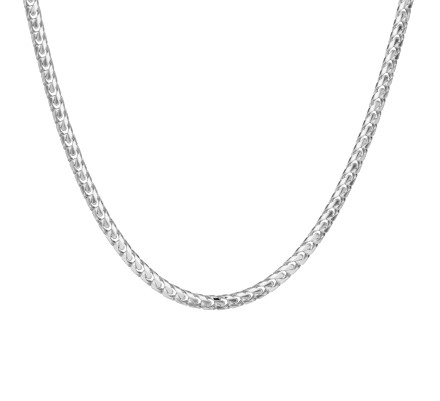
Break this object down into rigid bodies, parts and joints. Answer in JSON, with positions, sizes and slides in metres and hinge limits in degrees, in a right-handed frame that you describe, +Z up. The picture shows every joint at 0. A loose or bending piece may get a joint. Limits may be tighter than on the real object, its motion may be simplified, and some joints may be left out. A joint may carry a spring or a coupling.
{
  "type": "curb chain necklace",
  "caption": "Closed necklace of interlocked, twisted curb links with flat cut faces and edges, joined at the nape by a plain clasp.",
  "frame": {"origin": "on the nape, in the middle of the clasp's inner face", "axes": "+Z up, -Y towards the viewer of the hanging front, +X to the viewer's right"},
  "size_m": [0.1434, 0.0804, 0.1654],
  "materials": {
    "chain_silver": "polished silver with flat bright-cut facets",
    "clasp_silver": "polished silver"
  },
  "bodies": {
    "root": {"chain_left": "chain_silver", "chain_right": "chain_silver", "clasp": "clasp_silver"}
  },
  "joints": []
}
